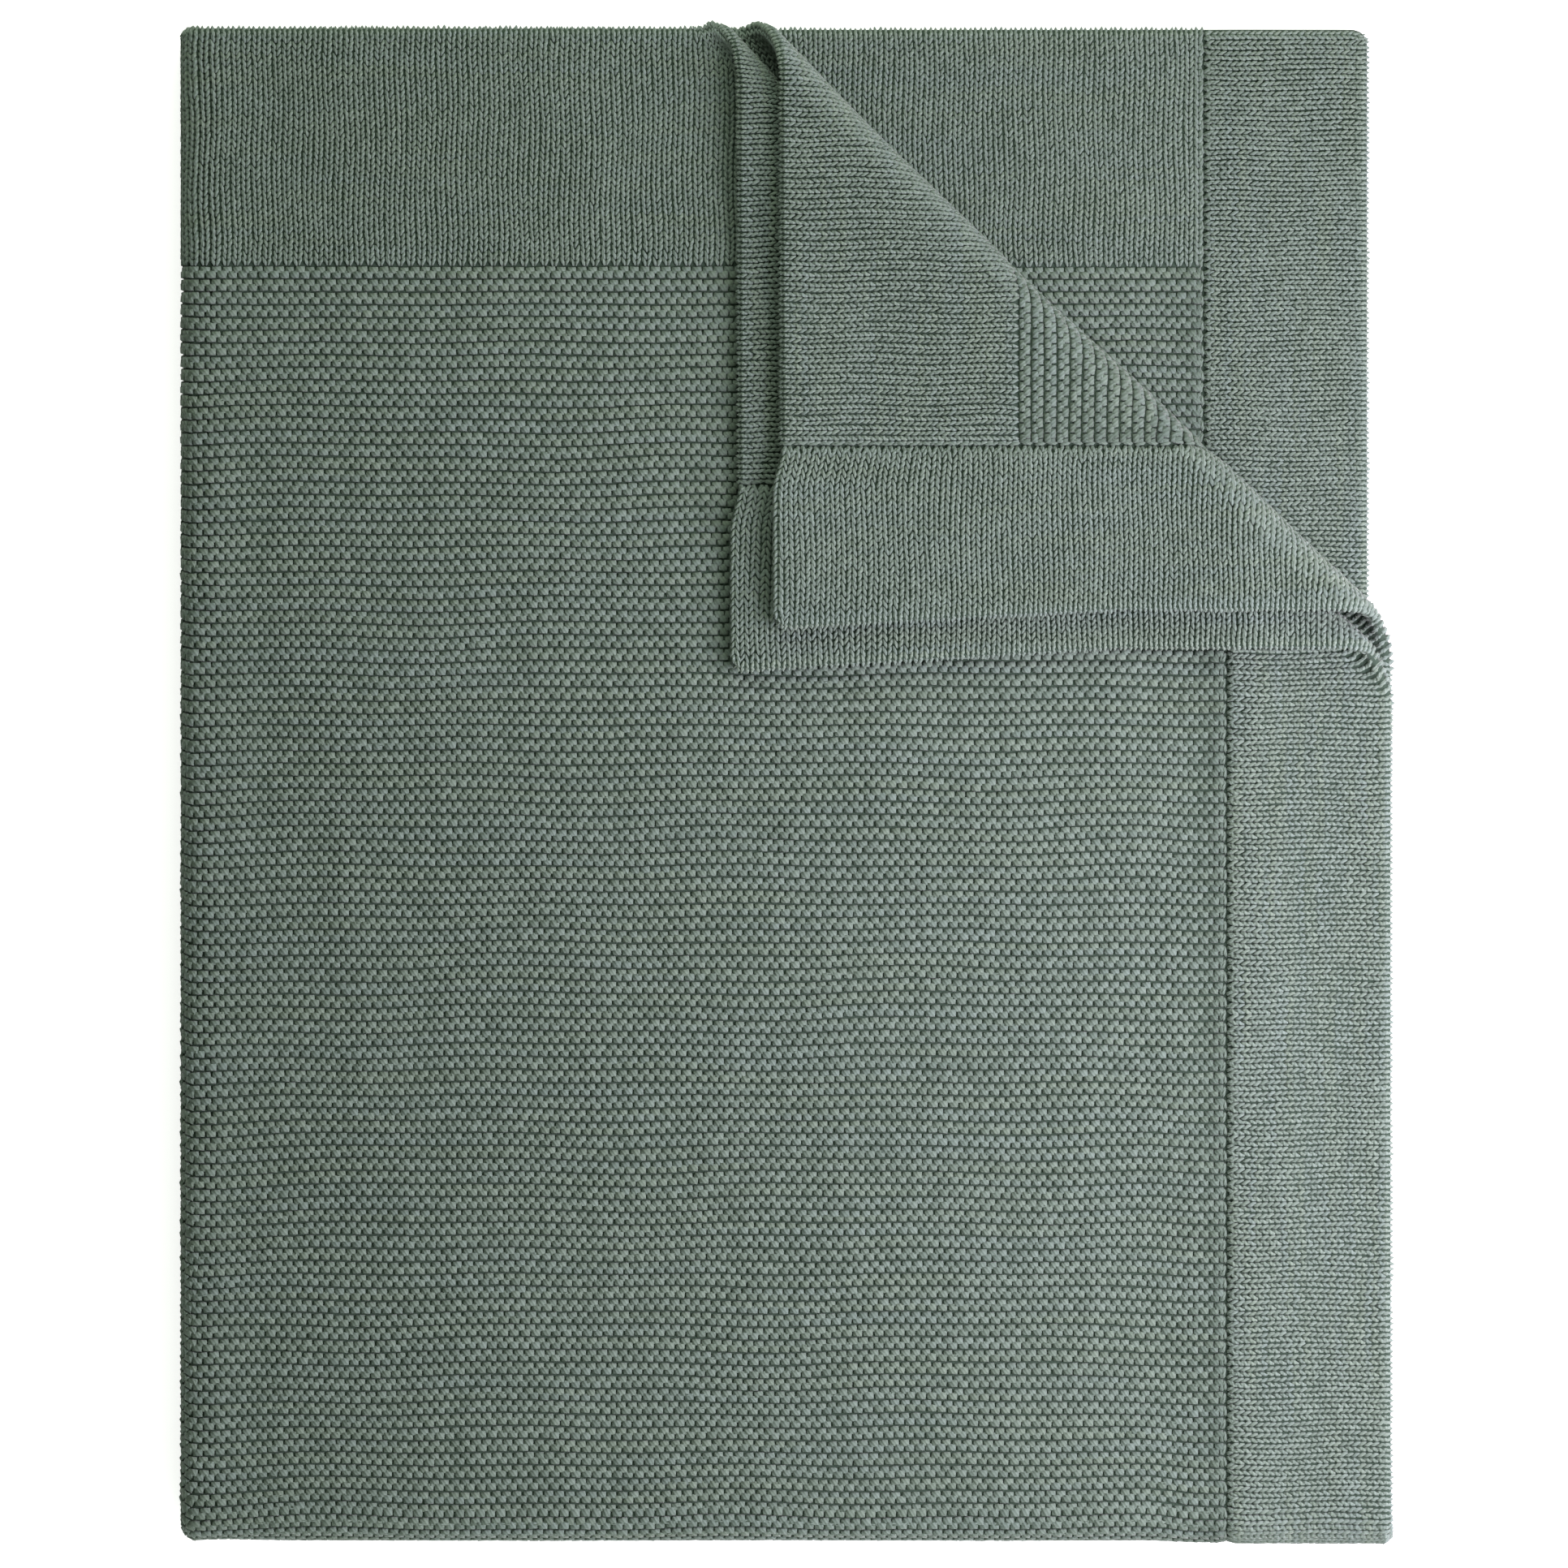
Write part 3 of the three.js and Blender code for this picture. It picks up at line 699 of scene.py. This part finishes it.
def stitchForm(name, form):
    points = [(form["tip"][0], 0, form["tip"][1])]
    for x, low, high, bottom, top in form["rings"]:
        points += [(x, -low, bottom), (x, -high, top), (x, high, top), (x, low, bottom)]
    points.append((form["end"][0], 0, form["end"][1]))
    points = [(x, y + form["bend"] * (2 * x) ** 2, z) for x, y, z in points]
    faces = []
    last = len(points) - 1
    for i in range(4):
        j = (i + 1) % 4
        faces.append((0, 1 + i, 1 + j))
        for ring in range(len(form["rings"]) - 1):
            a = 1 + 4 * ring
            faces.append((a + i, a + 4 + i, a + 4 + j, a + j))
        faces.append((last, last - 4 + j, last - 4 + i))
    mesh = bpy.data.meshes.new(name)
    mesh.from_pydata(points, [], faces)
    shape = bmesh.new()
    shape.from_mesh(mesh)
    bmesh.ops.recalc_face_normals(shape, faces=shape.faces)
    shape.to_mesh(mesh)
    shape.free()
    putValues(mesh, "spot", np.array(points))
    return linked(name, mesh)


stitchForms = {name: stitchForm(name, form) for name, form in forms.items()}


def newTree(name, kind, inputs, outputs):  # a node tree with its named sockets
    tree = bpy.data.node_groups.new(name, kind)
    for direction, sockets in (("INPUT", inputs), ("OUTPUT", outputs)):
        for label, holds in sockets:
            tree.interface.new_socket(name=label, in_out=direction, socket_type="NodeSocket" + holds)
    return tree, addNode(tree, "NodeGroupInput").outputs, addNode(tree, "NodeGroupOutput").inputs


def addNode(tree, kind, **settings):
    node = tree.nodes.new(kind)
    for key, value in settings.items():
        setattr(node, key, value)
    return node


def feed(tree, socket, value):  # gives a node's input a fixed value, or links another node's output to it
    if isinstance(value, bpy.types.NodeSocket):
        tree.links.new(value, socket)
    else:
        socket.default_value = value


def stitchTree():  # Geometry Nodes: one stitch on every point, turned and sized by the point's attributes
    tree, given, result = newTree("stitchOnPoints", "GeometryNodeTree", [
        ("Places", "Geometry"), ("Stitch", "Object"), ("Length", "Float"), ("Width", "Float"),
        ("Height", "Float"), ("Size wobble", "Float"), ("Turn wobble", "Float"), ("Seed", "Int"),
        ("Yarn", "Material"),
    ], [("Stitches", "Geometry")])
    tree.is_modifier = True

    def add(kind, inputs, **settings):  # a node, what goes into it, and its first output
        node = addNode(tree, kind, **settings)
        for socket, value in inputs.items():
            feed(tree, node.inputs[socket], value)
        return node.outputs[0]

    def named(name):
        return add("GeometryNodeInputNamedAttribute", {"Name": name}, data_type="FLOAT_VECTOR")

    def between(wobble, middle, kind):  # a random value within the wobble of the middle
        value = addNode(tree, "FunctionNodeRandomValue", data_type=kind)
        for operation, label in (("SUBTRACT", "Min"), ("ADD", "Max")):
            limit = add("ShaderNodeMath", {0: middle, 1: given[wobble]}, operation=operation)
            feed(tree, [i for i in value.inputs if i.name == label and i.enabled][0], limit)
        feed(tree, value.inputs["Seed"], given["Seed"])
        return [o for o in value.outputs if o.enabled][0]

    form = addNode(tree, "GeometryNodeObjectInfo")
    feed(tree, form.inputs["Object"], given["Stitch"])
    axes = {"Primary Axis": named("along"), "Secondary Axis": named("facing")}
    turn = add("FunctionNodeAxesToRotation", axes, primary_axis="X", secondary_axis="Z")
    size = add("ShaderNodeCombineXYZ", {"X": given["Length"], "Y": given["Width"], "Z": given["Height"]})
    sized = add("ShaderNodeVectorMath", {0: size, 1: named("size")}, operation="MULTIPLY")
    wobble = between("Size wobble", 1, "FLOAT")
    wobbled = add("ShaderNodeVectorMath", {0: sized, "Scale": wobble}, operation="SCALE")
    placed = add("GeometryNodeInstanceOnPoints", {
        "Points": given["Places"], "Instance": form.outputs["Geometry"], "Rotation": turn, "Scale": wobbled})
    swung = add("GeometryNodeRotateInstances", {
        "Instances": placed, "Rotation": between("Turn wobble", 0, "FLOAT_VECTOR")})
    real = add("GeometryNodeRealizeInstances", {0: swung})
    smooth = add("GeometryNodeSetShadeSmooth", {0: real})
    feed(tree, result[0], add("GeometryNodeSetMaterial", {"Geometry": smooth, "Material": given["Yarn"]}))
    return tree


onPoints = stitchTree()

# each kind of stitch, in metres; sunk says how deep its middle lies under the solid's face, in mm
legShape = {"form": "leg", "sunk": 0.6, "Length": 0.0033, "Width": 0.00117, "Height": 0.0015,
            "Size wobble": 0.07, "Turn wobble": 0.09}
bumpShape = {"form": "bump", "sunk": 0.5, "Length": 0.00312, "Width": 0.00224, "Height": 0.0015,
             "Size wobble": 0.06, "Turn wobble": 0.08}
chainShape = {"form": "leg", "sunk": 0.45, "Length": 0.004, "Width": 0.0012, "Height": 0.0015,
              "Size wobble": 0.08, "Turn wobble": 0.08}
tieShape = {"form": "leg", "sunk": 0.3, "Length": 0.0032, "Width": 0.0013, "Height": 0.0012,
            "Size wobble": 0.1, "Turn wobble": 0.1}
cellShare = 0.8  # of a stitch's square in the bake map


def knitPiece(name, stitches, shape, material, seed):
    points = (stitches["point"] - stitches["facing"] * shape["sunk"]) * mm
    mesh = bpy.data.meshes.new(name)
    mesh.from_pydata(points.tolist(), [], [])
    for key in ("along", "facing", "size", "tone", "cool"):
        putValues(mesh, key, stitches[key])
    piece = linked(name, mesh)
    modifier = piece.modifiers.new("stitches", "NODES")
    modifier.node_group = onPoints
    values = {**shape, "Stitch": stitchForms[shape["form"]], "Seed": seed, "Yarn": material}
    for item in onPoints.interface.items_tree:
        if item.item_type == "SOCKET" and item.in_out == "INPUT" and item.name in values:
            modifier[item.identifier] = values[item.name]
    graph = bpy.context.evaluated_depsgraph_get()
    made = bpy.data.meshes.new_from_object(piece.evaluated_get(graph), preserve_all_data_layers=True,
                                           depsgraph=graph)
    piece.modifiers.clear()
    piece.data = made
    made.name = name
    for key in ("along", "facing", "size"):
        if key in made.attributes:
            made.attributes.remove(made.attributes[key])
    spots = readValues(made.attributes["spot"].data, "vector", 3).reshape(-1, 3)
    places = readValues(made.vertices, "co", 3).reshape(-1, 3)
    stitch = np.arange(len(places)) // (len(places) // len(points))
    lean = forms[shape["form"]]["skew"] * shape["Width"] * stitches["hand"] * stitches["size"][:, 1]
    places += (stitches["along"] * lean[:, None])[stitch] * spots[:, 1:2]
    places[:, 2] = np.maximum(places[:, 2], 0)  # nothing goes into the surface it lies on
    made.vertices.foreach_set("co", places.ravel())
    bakeCells(made, spots, stitch, len(points))
    return piece


def bakeCells(mesh, spots, stitch, count):  # a UV map that gives each stitch its own small square
    cells = math.ceil(math.sqrt(count))
    corner = np.stack([stitch % cells, stitch // cells], -1)
    places = (corner + 0.5 + cellShare * spots[:, :2]) / cells
    places = places[readValues(mesh.loops, "vertex_index", 1, np.int32)]
    mesh.uv_layers.new(name="OFBake").data.foreach_set("uv", places.ravel())


# yarn colours, linear; the sheet under the stitches is multiplied by a dark colour, painted shade between
# them
yarn = {
    "light": (0.187, 0.240, 0.193), "deep": (0.139, 0.184, 0.144), "cool": (0.99, 1.0, 1.1),
    "paintedShadeBetweenStitches": (0.22, 0.29, 0.24), "roughness": 0.8, "sheen": 0.2, "sheenRoughness": 0.5, "specular": 0.3,
    "fibreScale": 2600, "fibreDetail": 2, "fibreHeight": 0.5, "plies": (2.3, 1.2, 0.0), "plyPaintedShade": 0.8,
    "bumpStrength": 0.5, "plyDepth": 0.00025, "bareKnitDepth": 0.0004,
}


def mixColors(tree, factor, first, second, **settings):
    mix = addNode(tree, "ShaderNodeMix", data_type="RGBA", **settings)
    for index, value in ((0, factor), (6, first), (7, second)):
        feed(tree, mix.inputs[index], value)
    return mix.outputs[2]


def toned(tree, tone, deep, light):
    return mixColors(tree, tone, deep, light, clamp_factor=False)


def multiplied(tree, factor, color, shade):
    return mixColors(tree, factor, color, shade, blend_type="MULTIPLY")


def heatherGroup():  # shader group: how a yarn's colour and fibres vary from place to place
    group, given, result = newTree("heatherYarn", "ShaderNodeTree", [
        ("Light", "Color"), ("Deep", "Color"), ("Cool", "Color"),
        ("Tone", "Float"), ("Coolness", "Float"), ("Fibre scale", "Float"),
    ], [("Color", "Color"), ("Fibre", "Float")])
    fibres = addNode(group, "ShaderNodeTexNoise")
    fibres.inputs["Detail"].default_value = yarn["fibreDetail"]
    feed(group, fibres.inputs["Vector"], addNode(group, "ShaderNodeTexCoord").outputs["Object"])
    feed(group, fibres.inputs["Scale"], given["Fibre scale"])
    color = toned(group, given["Tone"], given["Deep"], given["Light"])
    feed(group, result["Color"], multiplied(group, given["Coolness"], color, given["Cool"]))
    feed(group, result["Fibre"], fibres.outputs["Fac"])
    return group


heather = heatherGroup()


def yarnMaterial(name):
    material = bpy.data.materials.new(name)
    material.use_nodes = True
    tree = material.node_tree
    shader = tree.nodes["Principled BSDF"]
    shader.inputs["Roughness"].default_value = yarn["roughness"]
    shader.inputs["Sheen Weight"].default_value = yarn["sheen"]
    shader.inputs["Sheen Roughness"].default_value = yarn["sheenRoughness"]
    shader.inputs["Specular IOR Level"].default_value = yarn["specular"]
    mixed = addNode(tree, "ShaderNodeGroup", node_tree=heather)
    for socket, key in (("Light", "light"), ("Deep", "deep"), ("Cool", "cool")):
        mixed.inputs[socket].default_value = (*yarn[key], 1)
    mixed.inputs["Fibre scale"].default_value = yarn["fibreScale"]
    for socket in ("Tone", "Coolness"):
        mixed.inputs[socket].default_value = 0.5
    bump = addNode(tree, "ShaderNodeBump")
    bump.inputs["Strength"].default_value = yarn["bumpStrength"]
    feed(tree, shader.inputs["Normal"], bump.outputs["Normal"])
    return material, tree, shader, mixed, bump


def attribute(tree, name, output="Fac"):
    return addNode(tree, "ShaderNodeAttribute", attribute_name=name).outputs[output]


def multiplyAdd(tree, *values):
    node = addNode(tree, "ShaderNodeMath", operation="MULTIPLY_ADD")
    for socket, value in zip(node.inputs, values):
        feed(tree, socket, value)
    return node.outputs[0]


def stitchMaterial():  # plied yarn: the plies run slantwise over each stitch, bumped, and the colour is darker in the grooves between them, painted shade
    material, tree, shader, mixed, bump = yarnMaterial("stitchYarn")
    tone = attribute(tree, "tone")
    feed(tree, mixed.inputs["Tone"], tone)
    feed(tree, mixed.inputs["Coolness"], attribute(tree, "cool"))
    slant = addNode(tree, "ShaderNodeVectorMath", operation="DOT_PRODUCT")
    feed(tree, slant.inputs[0], attribute(tree, "spot", "Vector"))
    feed(tree, slant.inputs[1], [fullTurn * p for p in yarn["plies"]])
    sine = addNode(tree, "ShaderNodeMath", operation="SINE")
    feed(tree, sine.inputs[0], multiplyAdd(tree, tone, fullTurn, slant.outputs["Value"]))
    ply = addNode(tree, "ShaderNodeMapRange")
    feed(tree, ply.inputs["From Min"], -1)
    feed(tree, ply.inputs["Value"], sine.outputs[0])
    # painted shade: the base colour is darkened in the grooves between the plies
    shade = yarn["plyPaintedShade"]
    shades = toned(tree, ply.outputs["Result"], (shade, shade, shade, 1), (1, 1, 1, 1))
    feed(tree, shader.inputs["Base Color"], multiplied(tree, 1.0, mixed.outputs["Color"], shades))
    height = multiplyAdd(tree, mixed.outputs["Fibre"], yarn["fibreHeight"], ply.outputs["Result"])
    feed(tree, bump.inputs["Height"], height)
    bump.inputs["Distance"].default_value = yarn["plyDepth"]
    return material


def groundMaterial():  # the cloth under the stitches: dark between them, painted shade, and knit by bump where it is bare
    material, tree, shader, mixed, bump = yarnMaterial("groundYarn")
    bare = attribute(tree, "bare")
    # painted shade: where stitches cover the sheet, its colour is darkened
    under = multiplied(tree, 1.0, mixed.outputs["Color"], (*yarn["paintedShadeBetweenStitches"], 1))
    feed(tree, shader.inputs["Base Color"], toned(tree, bare, under, mixed.outputs["Color"]))
    rows = addNode(tree, "ShaderNodeVectorMath", operation="MULTIPLY")
    feed(tree, rows.inputs[0], addNode(tree, "ShaderNodeUVMap", uv_map="clothMap").outputs["UV"])
    feed(tree, rows.inputs[1], (fullTurn / knit["garterWale"] / mm, fullTurn / knit["ridge"] / mm, 0))
    waves = addNode(tree, "ShaderNodeVectorMath", operation="SINE")
    feed(tree, waves.inputs[0], rows.outputs[0])
    apart = addNode(tree, "ShaderNodeSeparateXYZ")
    feed(tree, apart.inputs[0], waves.outputs[0])
    bumps = multiplyAdd(tree, apart.outputs["X"], apart.outputs["Y"], 0.0)
    feed(tree, bump.inputs["Height"], multiplyAdd(tree, bumps, bare, mixed.outputs["Fibre"]))
    bump.inputs["Distance"].default_value = yarn["bareKnitDepth"]
    return material


stitchYarn, groundYarn = stitchMaterial(), groundMaterial()
for piece in clothPieces:
    piece.data.materials.append(groundYarn)


def knitInParts(name, stitches, shape, seed):  # two pieces, because one would have too many triangles
    count = len(stitches["point"])
    print(name, "made:", count)
    return [knitPiece(f"{name}_{i + 1}", pick(stitches, slice(i * count // 2, (i + 1) * count // 2)),
                      shape, stitchYarn, seed + i) for i in range(2)]


bumps = joinSets([garterStitches(1), garterStitches(-1)])
panelStitches = knitInParts("garter_stitches", bumps, bumpShape, 3)
legs = joinSets([borderStitches(1), borderStitches(-1)])
panelStitches += knitInParts("border_stitches", legs, legShape, 11)
bandPieces = {}
for piece, seed in (("side_band_a", 17), ("side_band_b", 21)):
    legs = joinSets([bandStitches(piece, 1), bandStitches(piece, -1)])
    chain, ties = seamLinks(piece, False), seamLinks(piece, True)
    bandPieces[piece] = [knitPiece(piece + "_stitches", legs, legShape, stitchYarn, seed),
                         knitPiece(piece + "_chain", chain, chainShape, stitchYarn, seed + 1),
                         knitPiece(piece + "_ties", ties, tieShape, stitchYarn, seed + 2)]
    print(piece, "legs, links and ties made:", *(len(stitches["point"]) for stitches in (legs, chain, ties)))
for form in stitchForms.values():
    bpy.data.objects.remove(form)


# each cloth piece and its stitches are put on the root body, and the solid they stand for is hidden
flatSizes = {"main_panel": 0.692, "side_band_a": 0.054, "side_band_b": 0.054}
for piece, name in zip(clothPieces, flatSizes):
    stitchPieces = panelStitches if name == "main_panel" else bandPieces[name]
    for one in [piece] + stitchPieces:
        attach(one, "root")
        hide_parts(name)

# room: a pale floor, a soft light from the right, two weak ones from the top and bottom, and a camera above
room = {
    "floor": 6.0, "floorColor": (0.92, 0.92, 0.92), "worldColor": (0.9, 1.0, 0.78), "worldStrength": 0.17,
    "floorGlow": 0.75,
    "lamps": [("keyLight", (0.5, -0.1, 0.42), 0.5, 8.5, (1.0, 0.915, 1.05)),
              ("topLight", (0, 0.8, 0.5), 0.6, 4.2, (0.91, 1.0, 0.84)),
              ("bottomLight", (0, -0.8, 0.35), 0.6, 2.6, (0.93, 1.0, 0.93))],
    "cameraHeight": 6.0, "cameraX": -0.0009, "cameraY": 0.0006, "frameWidth": 0.518, "frameLevel": 0.02,
}


def makeRoom():
    bpy.ops.mesh.primitive_plane_add(size=room["floor"], location=(0, 0, 0))
    floor = bpy.context.object
    floor.name = "floor"
    paint = bpy.data.materials.new("floorPaint")
    paint.use_nodes = True
    shader = paint.node_tree.nodes["Principled BSDF"]
    shader.inputs["Base Color"].default_value = (*room["floorColor"], 1)
    shader.inputs["Roughness"].default_value = 0.9
    shader.inputs["Emission Color"].default_value = (1, 1, 1, 1)
    # it glows for the camera alone, so it is white all over and throws no light on the cloth
    seen = addNode(paint.node_tree, "ShaderNodeLightPath").outputs["Is Camera Ray"]
    glow = multiplyAdd(paint.node_tree, seen, room["floorGlow"], 0.0)
    feed(paint.node_tree, shader.inputs["Emission Strength"], glow)
    floor.data.materials.append(paint)

    world = bpy.data.worlds.new("room")
    world.use_nodes = True
    world.node_tree.nodes["Background"].inputs["Color"].default_value = (*room["worldColor"], 1)
    world.node_tree.nodes["Background"].inputs["Strength"].default_value = room["worldStrength"]
    bpy.context.scene.world = world

    for name, place, size, power, color in room["lamps"]:
        lamp = bpy.data.lights.new(name, "AREA")
        lamp.size = size
        lamp.energy = power
        lamp.color = color
        light = bpy.data.objects.new(name, lamp)
        light.location = place
        light.rotation_euler = (-Vector(place)).to_track_quat("-Z", "Y").to_euler()
        bpy.context.scene.collection.objects.link(light)

    camera = bpy.data.cameras.new("camera")
    camera.sensor_width = 36
    distance = room["cameraHeight"] - room["frameLevel"]
    camera.lens = camera.sensor_width * distance / room["frameWidth"]
    camera.clip_end = 50
    eye = bpy.data.objects.new("camera", camera)
    eye.location = (room["cameraX"], room["cameraY"], room["cameraHeight"])
    bpy.context.scene.collection.objects.link(eye)
    bpy.context.scene.camera = eye
    bpy.context.scene.view_settings.view_transform = "Standard"


makeRoom()
print("room made")
